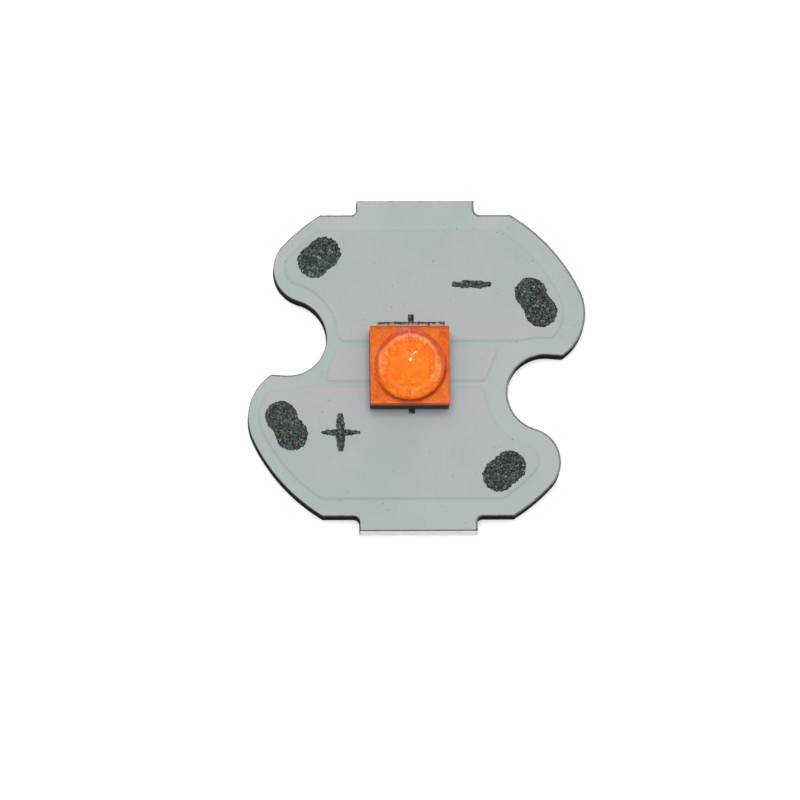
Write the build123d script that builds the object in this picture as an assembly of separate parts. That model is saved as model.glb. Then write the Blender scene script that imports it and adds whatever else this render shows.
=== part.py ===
from build123d import *
import math
import os

# High-power LED on a 16 mm star board.
# Millimetres. +Z is up, out of the dome. The origin is the centre of the punched board's underside.
# The board turns onto itself in half a turn, so each outline is drawn once and turned.

# Punched board
board_radius = 8.0
flat_depth = 1.2
tab_length = 0.72
tab_width = 5.2
tab_corner_radius = 0.25

# Screw notches, each open to the side
notch_radius = 1.7
notch_inset = 2.17
notch_angle = -12.4
mouth_angle = -4.7
mouth_length = 0.61
nose_radius = 2.38
lobe_radius = 1.54
tip_radius = 0.2

# Layers of the board
base_thickness = 0.9
dielectric_thickness = 0.1
copper_thickness = 0.07
mask_thickness = 0.03
mask_over_gap = 0.04
tin_thickness = 0.02
edge_break = 0.08

# Grooves that the board was snapped from its panel along
score_depth = 0.33
score_half_angle = 15.0

# Artwork, which lies a little off the punched outline
artwork_shift_x = -0.25
artwork_shift_y = 0.02
copper_edge_clearance = 0.8
copper_gap = 0.4
copper_corner_radius = 0.3
mask_pullback = 0.08
mask_shift_x = -0.05
mask_shift_y = -0.045
mask_side_cover = 0.06
mask_overlap = 0.04

# Wire pads, each two overlapping round openings
pad_circle_radius = 0.735
corner_pad_inset = 1.7
corner_pad_angle = 129.9
corner_pad_spacing = 0.63
corner_pad_lean_angle = 41.0
side_pad_inset = 1.81
side_pad_angle = 26.6
side_pad_spacing = 0.92
side_pad_lean_angle = -61.0

# Polarity marks and centre ticks
mark_length = 1.72
mark_stroke = 0.33
minus_mark_inset = 3.5
minus_mark_angle = 53.0
plus_mark_inset = 3.59
plus_mark_angle = 224.2
tick_width = 0.26
tick_length = 0.34

# Emitter and its seat on the board
emitter_size = 3.5
emitter_shift_x = -0.12
emitter_shift_y = -0.31
ceramic_thickness = 0.75
land_thickness = 0.03
land_setback = 0.1
land_end_setback = 0.25
electrode_land_width = 0.45
land_gap = 0.55
solder_height = 0.06
solder_toe = 0.15
thermal_strip_margin = 0.05
thermal_strip_length = 7.0
thermal_strip_slant = 0.55
thermal_strip_corner_radius = 0.15

# Metal on top of the ceramic and the plugs through it
via_radius = 0.1
via_spacing = 1.8
top_metal_thickness = 0.03
top_metal_setback = 0.12
top_strip_width = 0.48
top_metal_gap = 0.18
finger_width = 0.3

# Die, wires and protection diode
die_size = 1.14
die_thickness = 0.12
die_attach_thickness = 0.02
die_contact_setback = 0.12
bond_wire_radius = 0.025
bond_foot_radius = 0.06
bond_foot_thickness = 0.03
bond_loop_height = 0.12
diode_size = 0.25
diode_thickness = 0.08
diode_loop_height = 0.07

# Phosphor and silicone
phosphor_thickness = 0.1
skirt_thickness = 0.38
dome_radius = 1.55
dome_rim_height = 0.05

# Levels, counted up from the underside
dielectric_top = base_thickness + dielectric_thickness
copper_top = dielectric_top + copper_thickness
mask_top = copper_top + mask_thickness
land_bottom = mask_top + solder_height
ceramic_bottom = land_bottom + land_thickness
ceramic_top = ceramic_bottom + ceramic_thickness
top_metal_top = ceramic_top + top_metal_thickness
die_bottom = top_metal_top + die_attach_thickness
die_top = die_bottom + die_thickness
diode_top = top_metal_top + diode_thickness
phosphor_top = top_metal_top + phosphor_thickness
skirt_top = phosphor_top + skirt_thickness

# Sizes that follow from the punched circle
across_flats = 2 * (board_radius - flat_depth)
across_tabs = across_flats + 2 * tab_length
notch_pitch_radius = board_radius - notch_inset

# Sizes that follow from the emitter
emitter_half = emitter_size / 2
electrode_land_outer = emitter_half - land_setback
electrode_land_inner = electrode_land_outer - electrode_land_width
electrode_land_middle = (electrode_land_outer + electrode_land_inner) / 2
thermal_land_width = 2 * (electrode_land_inner - land_gap)
land_length = emitter_size - 2 * land_end_setback
thermal_strip_width = thermal_land_width + 2 * thermal_strip_margin
pour_edge = thermal_strip_width / 2 + copper_gap
electrode_opening_inner = pour_edge + mask_overlap
electrode_opening_outer = emitter_half + solder_toe
thermal_opening_width = thermal_strip_width - 2 * mask_overlap

artwork = Pos(artwork_shift_x, artwork_shift_y, 0)
emitter = artwork * Pos(emitter_shift_x, emitter_shift_y, 0)


def direction(angle):
    return Vector(math.cos(math.radians(angle)), math.sin(math.radians(angle)))


def left_of(way):
    return Vector(-way.Y, way.X)


def half_turn(shape):
    return shape.rotate(Axis.Z, 180)


def arc_about(centre, start, end):
    radius = (start - centre).length
    middle = centre + ((start - centre) + (end - centre)).normalized() * radius
    return ThreePointArc(start, middle, end)


def far_crossing(point, way, centre, radius):
    """Where a line from a point, running along a unit vector, leaves a circle."""
    along = (centre - point).dot(way)
    offset = (centre - point).dot(left_of(way))
    return point + way * (along + math.sqrt(radius ** 2 - offset ** 2))


def slab(face, low, high):
    """A plate with the given flat outline, from one level up to another."""
    return extrude(Pos(0, 0, low) * face, amount=high - low, dir=(0, 0, 1))


def box_between(x_low, x_high, y_low, y_high):
    """A flat rectangle given by its edges."""
    middle = Pos((x_low + x_high) / 2, (y_low + y_high) / 2)
    return middle * Rectangle(x_high - x_low, y_high - y_low)


def nearest_corner(face, x, y):
    return face.vertices().sort_by_distance((x, y, 0))[0]


# Outline of the board


def place_beside(point, reach, gap, side):
    """The point that lies a set reach from the origin and a set gap from another point."""
    distance = point.length
    along = (distance ** 2 + reach ** 2 - gap ** 2) / (2 * distance)
    across = math.sqrt(reach ** 2 - along ** 2)
    way = point.normalized()
    return way * along + left_of(way) * (across * side)


def notch_middle():
    return direction(notch_angle) * notch_pitch_radius


def mouth_start(inset):
    """Where a notch's wall runs out into its straight upper lip."""
    return notch_middle() + left_of(direction(mouth_angle)) * (notch_radius + inset)


def nose_middle():
    """The middle of the arc that leads from the punched circle to the end of the upper lip."""
    tip = mouth_start(0) + direction(mouth_angle) * mouth_length
    return place_beside(tip, board_radius - nose_radius, nose_radius, 1)


def lobe_middle():
    """The middle of the arc that rolls off the notch and onto the punched circle."""
    return place_beside(notch_middle(), board_radius - lobe_radius, notch_radius + lobe_radius, -1)


def mouth_tip(inset):
    """The point where a notch's upper lip meets the nose of the board."""
    return far_crossing(mouth_start(inset), direction(mouth_angle), nose_middle(), nose_radius - inset)


def body_outline(inset):
    """The punched outline without its tabs, drawn a set distance inside the edge."""
    origin = Vector(0, 0)
    radius = board_radius - inset
    flat = across_flats / 2 - inset
    flat_end = math.sqrt(radius ** 2 - flat ** 2)
    upper_flat_end = Vector(flat_end, flat)
    lower_flat_end = Vector(flat_end, -flat)
    upper_flat_start = Vector(-flat_end, flat)

    notch_centre = notch_middle()
    notch_top = mouth_start(inset)
    nose_centre = nose_middle()
    nose_end = nose_centre.normalized() * radius
    tip = mouth_tip(inset)
    lobe_centre = lobe_middle()
    lobe_start = notch_centre + (lobe_centre - notch_centre).normalized() * (notch_radius + inset)
    lobe_end = lobe_centre.normalized() * radius

    right_half = [
        Line(upper_flat_start, upper_flat_end),
        arc_about(origin, upper_flat_end, nose_end),
        arc_about(nose_centre, nose_end, tip),
        Line(tip, notch_top),
        arc_about(notch_centre, notch_top, lobe_start),
        arc_about(lobe_centre, lobe_start, lobe_end),
        arc_about(origin, lobe_end, lower_flat_end),
    ]
    left_half = [half_turn(edge) for edge in right_half]
    return make_face(Wire(right_half + left_half))


def tabbed_outline(inset):
    """The whole punched outline, with its two tabs and its corners rounded."""
    tabs = Rectangle(tab_width - 2 * inset, across_tabs - 2 * inset)
    outline = body_outline(inset) + tabs
    tip = mouth_tip(inset)
    tips = [nearest_corner(outline, side * tip.X, side * tip.Y) for side in (1, -1)]
    outline = fillet(tips, tip_radius - inset)
    corner_x = tab_width / 2 - inset
    corner_y = across_flats / 2 - inset
    corners = [nearest_corner(outline, x, y) for x in (corner_x, -corner_x) for y in (corner_y, -corner_y)]
    return fillet(corners, tab_corner_radius + inset)


def score_flanks():
    """The wedges that the snap grooves took off the ends of both tabs, above and below."""
    half_length = across_tabs / 2
    reach = 2 * score_depth
    run = reach * math.tan(math.radians(score_half_angle))
    web_top = dielectric_top - score_depth
    upper = Polyline(
        (half_length, web_top),
        (half_length - run, web_top + reach),
        (half_length + run, web_top + reach),
        (half_length + run, web_top),
        close=True,
    )
    lower = Polyline(
        (half_length, score_depth),
        (half_length - run, score_depth - reach),
        (half_length + run, score_depth - reach),
        (half_length + run, score_depth),
        close=True,
    )
    flanks = []
    for wedge in (upper, lower):
        prism = extrude(Plane.YZ * make_face(wedge), amount=tab_width, both=True)
        flanks.append(prism)
        flanks.append(half_turn(prism))
    return flanks


# Board layers


def make_base():
    base = slab(tabbed_outline(0), 0, base_thickness)
    underside = base.faces().sort_by(Axis.Z)[0]
    base = chamfer(underside.outer_wire().edges(), edge_break)
    return base - score_flanks()


def make_dielectric():
    return slab(tabbed_outline(0), base_thickness, dielectric_top) - score_flanks()


def pour_area(grow):
    """The upper copper pour's outline in the artwork frame, widened by a set amount."""
    low = pour_edge - grow
    outline = body_outline(copper_edge_clearance - grow)
    pour = outline & box_between(-board_radius, board_radius, low, low + board_radius)
    corners = pour.vertices().sort_by(Axis.Y)[:2]
    return fillet(corners, copper_corner_radius + grow)


def thermal_area(grow):
    """The slanted copper strip under the emitter in the artwork frame, widened by a set amount."""
    end = thermal_strip_length / 2 + grow
    lean = thermal_strip_slant / 2
    half_width = thermal_strip_width / 2 + grow
    corners = [
        (-end + lean, half_width),
        (end + lean, half_width),
        (end - lean, -half_width),
        (-end - lean, -half_width),
    ]
    strip = make_face(Polyline(corners, close=True))
    return fillet(strip.vertices(), thermal_strip_corner_radius + grow)


def place_inside(inset, angle):
    """A point a set distance in from the punched circle."""
    return direction(angle) * (board_radius - inset)


def pad_opening(centre, spacing, lean_angle):
    """A wire pad's opening: two round openings that run into each other."""
    step = direction(lean_angle) * (spacing / 2)
    circle = Circle(pad_circle_radius)
    return Pos(*(centre + step)) * circle + Pos(*(centre - step)) * circle


def electrode_opening():
    return box_between(
        -land_length / 2, land_length / 2, electrode_opening_inner, electrode_opening_outer
    )


def tick_opening():
    return box_between(
        -tick_width / 2, tick_width / 2, electrode_opening_outer, electrode_opening_outer + tick_length
    )


copper_areas = {
    "cathode": pour_area(0),
    "thermal": thermal_area(0),
    "anode": half_turn(pour_area(0)),
}

joint_openings = {
    "cathode": electrode_opening(),
    "thermal": Rectangle(land_length, thermal_opening_width),
    "anode": half_turn(electrode_opening()),
}

corner_pad_place = place_inside(corner_pad_inset, corner_pad_angle)
side_pad_place = place_inside(side_pad_inset, side_pad_angle)
minus_mark_place = place_inside(minus_mark_inset, minus_mark_angle)
plus_mark_place = place_inside(plus_mark_inset, plus_mark_angle)
corner_pad = pad_opening(corner_pad_place, corner_pad_spacing, corner_pad_lean_angle)
side_pad = pad_opening(side_pad_place, side_pad_spacing, side_pad_lean_angle)
stroke = Rectangle(mark_length, mark_stroke)

tin_openings = {
    "cathode_pad_tin_left": corner_pad,
    "cathode_pad_tin_right": side_pad,
    "anode_pad_tin_left": half_turn(side_pad),
    "anode_pad_tin_right": half_turn(corner_pad),
    "minus_mark_tin": Pos(*minus_mark_place) * stroke,
    "plus_mark_tin": Pos(*plus_mark_place) * (stroke + stroke.rotate(Axis.Z, 90)),
    "cathode_tick_tin": tick_opening(),
    "anode_tick_tin": half_turn(tick_opening()),
}


def make_mask():
    """The mask: one film over everything, raised where copper lies under it."""
    outline = Pos(mask_shift_x, mask_shift_y) * tabbed_outline(mask_pullback)
    mask = slab(outline, dielectric_top, dielectric_top + mask_over_gap)
    covered_pour = pour_area(mask_side_cover)
    for covered in (covered_pour, thermal_area(mask_side_cover), half_turn(covered_pour)):
        mask = mask + artwork * slab(covered, dielectric_top, mask_top)
    mask = mask - [artwork * slab(area, dielectric_top, copper_top) for area in copper_areas.values()]
    openings = list(joint_openings.values()) + list(tin_openings.values())
    mask = mask - [artwork * slab(opening, copper_top, mask_top) for opening in openings]
    return mask - score_flanks()


# Emitter, drawn about its own middle and then placed


def land_area(name):
    electrode = box_between(
        -land_length / 2, land_length / 2, electrode_land_inner, electrode_land_outer
    )
    if name == "cathode":
        return electrode
    if name == "anode":
        return half_turn(electrode)
    return Rectangle(land_length, thermal_land_width)


def solder_joint(name):
    """Solder that fills its opening and then leans in to the land above it."""
    opening = artwork * joint_openings[name]
    land = emitter * land_area(name)
    fill = slab(opening, copper_top, mask_top)
    lower_face = Pos(0, 0, mask_top) * opening
    upper_face = Pos(0, 0, land_bottom) * land
    return fill + loft([lower_face, upper_face])


def via_group(side):
    plug = Cylinder(via_radius, ceramic_thickness, align=(Align.CENTER, Align.CENTER, Align.MIN))
    places = [(x, side * electrode_land_middle) for x in (-via_spacing / 2, via_spacing / 2)]
    return [Pos(x, y, ceramic_bottom) * plug for x, y in places]


top_metal_end = emitter_half - top_metal_setback
top_strip_inner = electrode_land_middle - top_strip_width / 2
top_strip_outer = electrode_land_middle + top_strip_width / 2
die_pad_half = top_strip_inner - top_metal_gap
finger_middle = top_metal_end - finger_width / 2

cathode_strip = box_between(-top_metal_end, top_metal_end, top_strip_inner, top_strip_outer)
anode_finger = box_between(
    top_metal_end - finger_width, top_metal_end, -top_strip_outer, top_strip_inner - top_metal_gap
)
anode_strip = half_turn(cathode_strip) + anode_finger
die_pad_area = Rectangle(2 * die_pad_half, 2 * die_pad_half)


def bond_wire(start, end, loop_height):
    """A wire that rises from its ball, crosses level and comes down on its stitch."""
    level = start.Z + loop_height
    path = Polyline(
        start,
        Vector(start.X, start.Y, level),
        Vector(end.X, end.Y, level),
        end,
    )
    section = Plane(start, z_dir=(0, 0, 1)) * RegularPolygon(bond_wire_radius, 6)
    wire = sweep(section, path=path, transition=Transition.RIGHT)
    ball = slab(Circle(bond_foot_radius), 0, bond_foot_thickness)
    stitch = slab(Rectangle(2 * bond_foot_radius, 2 * bond_foot_radius), 0, bond_foot_thickness)
    return wire + Pos(*start) * ball + Pos(*end) * stitch


die_contact_y = die_size / 2 - die_contact_setback
cathode_wire = bond_wire(
    Vector(0, die_contact_y, die_top),
    Vector(0, electrode_land_middle, top_metal_top),
    bond_loop_height,
)
anode_wire = half_turn(cathode_wire)
diode_wire = bond_wire(
    Vector(finger_middle, electrode_land_middle, diode_top),
    Vector(finger_middle, die_pad_half - bond_foot_radius, top_metal_top),
    diode_loop_height,
)
bond_wires = [cathode_wire, anode_wire, diode_wire]

die = slab(Rectangle(die_size, die_size), die_bottom, die_top)
die_attach = slab(Rectangle(die_size, die_size), top_metal_top, die_bottom)
diode_area = Pos(finger_middle, electrode_land_middle) * Rectangle(diode_size, diode_size)
diode = slab(diode_area, top_metal_top, diode_top)
top_metals = {
    "cathode_top_metal": slab(cathode_strip, ceramic_top, top_metal_top),
    "anode_top_metal": slab(anode_strip, ceramic_top, top_metal_top),
    "die_pad": slab(die_pad_area, ceramic_top, top_metal_top),
}
plate = Rectangle(emitter_size, emitter_size)


def make_phosphor():
    """An even coat over the ceramic that climbs over the die and the diode."""
    coat = slab(plate, ceramic_top, phosphor_top)
    coated_die = die_size + 2 * phosphor_thickness
    coat = coat + slab(Rectangle(coated_die, coated_die), ceramic_top, die_top + phosphor_thickness)
    coated_diode = diode_size + phosphor_thickness
    coated_diode_area = Pos(finger_middle, electrode_land_middle) * Rectangle(coated_diode, coated_diode)
    coat = coat + slab(coated_diode_area, ceramic_top, diode_top + phosphor_thickness / 2)
    return coat - list(top_metals.values()) - [die, die_attach, diode] - bond_wires


def make_lens(phosphor):
    """A square silicone skirt with a round dome on it, turned about the emitter's axis."""
    apex = skirt_top + dome_rim_height + dome_radius
    rim_top = skirt_top + dome_rim_height
    shoulder = dome_radius * math.sqrt(0.5)
    profile = [
        Line((0, phosphor_top), (dome_radius, phosphor_top)),
        Line((dome_radius, phosphor_top), (dome_radius, rim_top)),
        ThreePointArc((dome_radius, rim_top), (shoulder, rim_top + shoulder), (0, apex)),
        Line((0, apex), (0, phosphor_top)),
    ]
    dome = revolve(Plane.XZ * make_face(Wire(profile)), axis=Axis.Z)
    skirt = slab(plate, phosphor_top, skirt_top)
    return skirt + dome - phosphor - [die] - bond_wires


# The separate pieces, each under its own name

parts = {
    "aluminium_base": make_base(),
    "dielectric_layer": make_dielectric(),
    "solder_mask": make_mask(),
}
for name, area in copper_areas.items():
    parts[name + "_copper"] = artwork * slab(area, dielectric_top, copper_top)
    parts[name + "_solder_joint"] = solder_joint(name)
    parts[name + "_land"] = emitter * slab(land_area(name), land_bottom, ceramic_bottom)
for name, opening in tin_openings.items():
    parts[name] = artwork * slab(opening, copper_top, copper_top + tin_thickness)

cathode_vias = via_group(1)
anode_vias = via_group(-1)
ceramic = slab(plate, ceramic_bottom, ceramic_top) - cathode_vias - anode_vias
phosphor = make_phosphor()
parts["ceramic_substrate"] = emitter * ceramic
parts["cathode_vias"] = Compound(children=[emitter * plug for plug in cathode_vias])
parts["anode_vias"] = Compound(children=[emitter * plug for plug in anode_vias])
for name, metal in top_metals.items():
    parts[name] = emitter * metal
parts["die_attach"] = emitter * die_attach
parts["led_die"] = emitter * die
parts["cathode_bond_wire"] = emitter * cathode_wire
parts["anode_bond_wire"] = emitter * anode_wire
parts["protection_diode"] = emitter * diode
parts["diode_bond_wire"] = emitter * diode_wire
parts["phosphor_coat"] = emitter * phosphor
parts["dome_lens"] = emitter * make_lens(phosphor)

os.makedirs("parts", exist_ok=True)
for name, shape in parts.items():
    export_step(shape, f"parts/{name}.step")
    print(name, "solids", len(shape.solids()), "volume", round(shape.volume, 4))
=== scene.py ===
# %% [markdown]
# # A high-power LED on a star board, seen from above
# The CAD model is loaded first and stays fixed. Every piece made below takes its place and its
# levels from it, so nothing has to be fitted by eye. Lengths are written in millimetres, as on a
# drawing, and turned into Blender's metres at the moment a mesh is made.

# %% Load the frame
import math
import bpy
import numpy as np
from mathutils import Matrix, Vector, geometry, noise


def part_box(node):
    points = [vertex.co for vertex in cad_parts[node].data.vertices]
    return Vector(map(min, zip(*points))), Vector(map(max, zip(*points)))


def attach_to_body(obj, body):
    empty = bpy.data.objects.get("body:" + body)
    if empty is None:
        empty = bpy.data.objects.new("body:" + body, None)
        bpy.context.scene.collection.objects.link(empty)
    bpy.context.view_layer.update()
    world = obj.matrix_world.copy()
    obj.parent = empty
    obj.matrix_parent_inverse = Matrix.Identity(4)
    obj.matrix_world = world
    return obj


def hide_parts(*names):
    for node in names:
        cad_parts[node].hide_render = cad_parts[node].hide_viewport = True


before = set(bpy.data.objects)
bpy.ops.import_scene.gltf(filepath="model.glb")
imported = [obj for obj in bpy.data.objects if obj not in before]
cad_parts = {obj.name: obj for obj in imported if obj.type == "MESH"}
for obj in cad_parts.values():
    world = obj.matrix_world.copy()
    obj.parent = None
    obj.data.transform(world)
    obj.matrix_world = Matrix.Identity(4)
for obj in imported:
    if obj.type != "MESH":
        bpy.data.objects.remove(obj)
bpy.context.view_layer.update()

MM = 0.001
scene = bpy.context.scene
print("CAD nodes:", len(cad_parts))

# %% [markdown]
# ## Levels and drawing sizes
# A board like this is a stack: metal, insulation, foil, lacquer, and the emitter on top. Each level
# is read from the CAD node that ends there. The punched outline is drawn again from the tool
# maker's numbers, because an outline made of true arcs can be cut as finely as the light needs.

# %% Read the levels
def span(node):
    """Lowest and highest corner of a CAD node, in millimetres."""
    low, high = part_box(node)
    return np.array(low) / MM, np.array(high) / MM


base_top = span("aluminium_base")[1][2]
insulation_top = span("dielectric_layer")[1][2]
copper_top = span("thermal_copper")[1][2]
mask_top = span("solder_mask")[1][2]
land_bottom = span("thermal_land")[0][2]
ceramic_low, ceramic_high = span("ceramic_substrate")
coat_bottom = ceramic_high[2]
coat_over_die = span("phosphor_coat")[1][2]
lens_low, lens_high = span("dome_lens")
coat_top, lens_top = lens_low[2], lens_high[2]
emitter_centre = (ceramic_low + ceramic_high)[:2] / 2
emitter_half = (ceramic_high - ceramic_low)[0] / 2
die_low, die_high = span("led_die")
die_middle = (die_low + die_high)[:2] / 2
die_half = (die_high - die_low)[0] / 2
print("levels in mm:", base_top, insulation_top, copper_top, mask_top, coat_bottom, lens_top)

# %% Numbers of the punched outline
BOARD_RADIUS, FLAT, TAB_END, TAB_HALF_WIDTH = 8.0, 6.8, 7.52, 2.6
NOTCH_RADIUS, NOTCH_PITCH, NOTCH_ANGLE = 1.7, 5.83, -12.4
LIP_ANGLE, LIP_LENGTH = -4.7, 0.61
NOSE_RADIUS, LOBE_RADIUS = 2.38, 1.54
TIP_RADIUS, TAB_CORNER = 0.2, 0.25
SCORE_DEPTH, SCORE_SLOPE = 0.33, math.tan(math.radians(15))
MASK_INSET, MASK_SHIFT = 0.065, np.array([-0.035, -0.03])
DOME_RADIUS, DOME_RIM = 1.55, 0.05
plate_top = lens_top - DOME_RADIUS - DOME_RIM
print("board", 2 * BOARD_RADIUS, "mm round, lens plate up to", round(plate_top, 3), "mm")

# %% [markdown]
# ## Camera
# The photograph was taken from far off with a long lens, from a little in front of the board and
# slightly to its left. A long lens keeps parallel edges parallel. The board lies turned by a little
# over half a degree in the picture, so the camera's own up direction leans by that much.

# %% Place the camera
PIXELS_PER_MM, FRAME_PIXELS = 22.68, 800
LEAN_FORWARD, LEAN_LEFT, ROLL = map(math.radians, (12.0, 2.3, 0.63))
BOARD_IN_PICTURE = (417.1, 364.7)
CAMERA_DISTANCE = 450.0


def linked(name, data):
    """A new object in the scene for a camera, a lamp or a mesh."""
    made = bpy.data.objects.new(name, data)
    bpy.context.collection.objects.link(made)
    return made


off_x = FRAME_PIXELS / 2 - BOARD_IN_PICTURE[0]
off_y = BOARD_IN_PICTURE[1] - FRAME_PIXELS / 2
target_x = (off_x * math.cos(ROLL) + off_y * math.sin(ROLL)) / PIXELS_PER_MM
target_y = (off_y * math.cos(ROLL) - off_x * math.sin(ROLL)) / PIXELS_PER_MM
target = Vector((target_x, target_y / math.cos(LEAN_FORWARD), insulation_top))
towards = Vector((-math.sin(LEAN_LEFT), -math.sin(LEAN_FORWARD), math.cos(LEAN_FORWARD)))
towards.normalize()
picture_up = Vector((math.sin(ROLL), math.cos(ROLL), 0))
right = picture_up.cross(towards).normalized()
up = towards.cross(right)

lens = bpy.data.cameras.new("camera")
lens.sensor_width = 36.0
lens.lens = lens.sensor_width * CAMERA_DISTANCE / (FRAME_PIXELS / PIXELS_PER_MM)
lens.clip_start, lens.clip_end = 0.01, 20.0
camera = linked("camera", lens)
camera_place = Matrix((right, up, towards)).transposed().to_4x4()
camera_place.translation = (target + towards * CAMERA_DISTANCE) * MM
camera.matrix_world = camera_place
scene.camera = camera
print("camera", round(CAMERA_DISTANCE), "mm away, lens", round(lens.lens), "mm")

# %% [markdown]
# ## Shader maths as plain Python
# A material is a small calculation, so it should read like one. `Value` wraps one output socket.
# Adding, multiplying or comparing two of them lays down the Math node that does it. `Sheet` is the
# tree that they are written on: its `node` method lays down any other node, and `mix` blends two
# colours. `Finish` is the sheet of one material, with the patterns that this object needs.

# %% Sockets, sheets and finishes
def math_node(operation):
    """A method that lays down the Math node for one operation."""
    def method(self, *others):
        inputs = dict(enumerate((self, *others)))
        return self.sheet.node("Math", inputs, operation=operation)
    return method


class Value:
    """One output socket. Arithmetic on it adds Math nodes."""
    __add__ = __radd__ = math_node("ADD")
    __mul__ = __rmul__ = math_node("MULTIPLY")
    __sub__ = math_node("SUBTRACT")
    __gt__ = math_node("GREATER_THAN")
    __abs__ = math_node("ABSOLUTE")
    max, root = math_node("MAXIMUM"), math_node("SQRT")

    def __init__(self, sheet, socket):
        self.sheet, self.socket = sheet, socket

    def __rsub__(self, other):
        return self.sheet.node("Math", {0: other, 1: self}, operation="SUBTRACT")

    def step(self, low, high):
        """A soft step: 0 below low, 1 above high."""
        inputs = {0: self, 1: low, 2: high, 3: 0.0, 4: 1.0}
        return self.sheet.node("MapRange", inputs, interpolation_type="SMOOTHSTEP")


class Sheet:
    """A node tree being written on."""

    def __init__(self, tree):
        self.tree = tree
        tree.nodes.clear()

    def node(self, kind, inputs=None, output=0, **settings):
        made = self.tree.nodes.new("ShaderNode" + kind)
        for key, value in settings.items():
            setattr(made, key, value)
        for key, value in (inputs or {}).items():
            if isinstance(value, Value):
                self.tree.links.new(value.socket, made.inputs[key])
            else:
                made.inputs[key].default_value = value
        return Value(self, made.outputs[output])

    def mix(self, factor, first, second):
        inputs = {0: factor, 6: linear(first), 7: linear(second)}
        return self.node("Mix", inputs, output=2, data_type="RGBA")

    def layers(self, colour, *coats):
        """Lays coats over a colour in turn. Each coat is a mask from 0 to 1 and a colour."""
        for mask, coat in coats:
            colour = self.mix(mask, colour, coat)
        return colour

    def axes(self, vector):
        """The three parts of a vector or a colour."""
        first = self.node("SeparateXYZ", {0: vector})
        return [Value(self, socket) for socket in first.socket.node.outputs]

    def end_with(self, kind, shader):
        """Lays down the output node that the shader goes into."""
        end = self.tree.nodes.new("ShaderNodeOutput" + kind)
        self.tree.links.new(shader.socket, end.inputs[0])


def linear(colour):
    """A colour read off a screen, 0 to 255, as the linear light that Blender mixes."""
    if isinstance(colour, Value):
        return colour
    parts = [level / 255 for level in colour]
    return (*(p / 12.92 if p <= 0.04045 else ((p + 0.055) / 1.055) ** 2.4 for p in parts), 1.0)


class Finish(Sheet):
    """One material for this object. Patterns are placed in millimetres on the object."""

    def __init__(self, name):
        self.material = bpy.data.materials.new(name)
        self.material.use_nodes = True
        super().__init__(self.material.node_tree)
        metres = self.node("TexCoord", output=3)
        self.place = self.node("VectorMath", {0: metres, 3: 1 / MM}, operation="SCALE")

    def facing(self):
        """The three parts of the direction that the surface faces."""
        return self.axes(self.node("NewGeometry", output=1))

    def stretched(self, *by):
        return self.node("VectorMath", {0: self.place, 1: by}, operation="MULTIPLY")

    def noise(self, size, detail=2.0, roughness=0.5, place=None):
        """Cloudy pattern whose blotches are about size millimetres across, from 0 to 1."""
        inputs = {"Vector": place or self.place, "Scale": 1 / size}
        return self.node("TexNoise", inputs | {"Detail": detail, "Roughness": roughness})

    def cells(self, size, output=0, feature="F1"):
        """Grains about size millimetres across: their distance, or a random colour each."""
        inputs = {"Vector": self.place, "Scale": 1 / size}
        return self.node("TexVoronoi", inputs, output, feature=feature)

    def bump(self, height, depth):
        """A surface normal shaken by a height of depth millimetres."""
        inputs = {"Strength": 1.0, "Distance": depth * MM, "Height": height}
        return self.node("Bump", inputs)

    def surface(self, colour, roughness, metallic, normal, **others):
        """Ends the material in one surface. Other inputs are named with _ for a space."""
        inputs = {"Base Color": linear(colour), "Roughness": roughness, "Metallic": metallic}
        inputs |= {key.replace("_", " "): value for key, value in others.items()}
        self.end_with("Material", self.node("BsdfPrincipled", inputs | {"Normal": normal}))
        print("finish", self.material.name, len(self.tree.nodes), "nodes")
        return self.material


print("screen grey 128 is", round(linear([128])[0], 3), "of full light")

# %% [markdown]
# ## Studio light
# The board was lit from overhead and a little behind, and the walls that face the camera are nearly
# black. A sky that is bright above and weak in front does that with very little noise. Two
# small lamps that only shine and never light the board draw the dot and the streak on the dome.

# %% Sky
SKY_TOP, SKY_SIDE, SKY_BACK = 0.36, 0.24, 0.1
WHITE = (255, 255, 255)
world = bpy.data.worlds.new("studio")
world.use_nodes = True
scene.world = world
sky = Sheet(world.node_tree)
sky_way = sky.axes(sky.node("TexCoord"))
glow = sky_way[2].step(-0.1, 0.95) * (SKY_TOP - SKY_SIDE) + sky_way[1] * SKY_BACK + SKY_SIDE
sky.end_with("World", sky.node("Background", {0: linear(WHITE), 1: glow}))
scene.view_settings.view_transform = "Standard"
print("sky nodes:", len(sky.tree.nodes))

# %% Lamps
def lamp(name, direction, distance, size, watts, size_y=None, turn=0, only_shine=False):
    """A flat lamp, round or a strip, that hangs in a direction from the board and faces it."""
    light = bpy.data.lights.new(name, "AREA")
    light.shape = "RECTANGLE" if size_y else "DISK"
    light.size, light.energy = size * MM, watts
    if size_y:
        light.size_y = size_y * MM
    hung = linked(name, light)
    aim = Vector(direction).normalized()
    hung.location = aim * distance * MM
    hung.rotation_euler = aim.to_track_quat("Z", "Y").to_euler()
    hung.rotation_euler.rotate_axis("Z", math.radians(turn))
    hung.visible_camera = False
    hung.visible_diffuse = hung.visible_transmission = not only_shine
    hung.visible_glossy = only_shine


lamp("overhead_softbox", (-0.03, 0.1, 1.0), distance=400, size=220, watts=1.11)
lamp("highlight_lamp", (-0.02, 0.066, 1.0), distance=300, size=14, watts=0.15, only_shine=True)
lamp("highlight_strip", (0.21, 0.465, 1.0), distance=300, size=120, watts=0.07,
     size_y=5, turn=54, only_shine=True)

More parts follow.
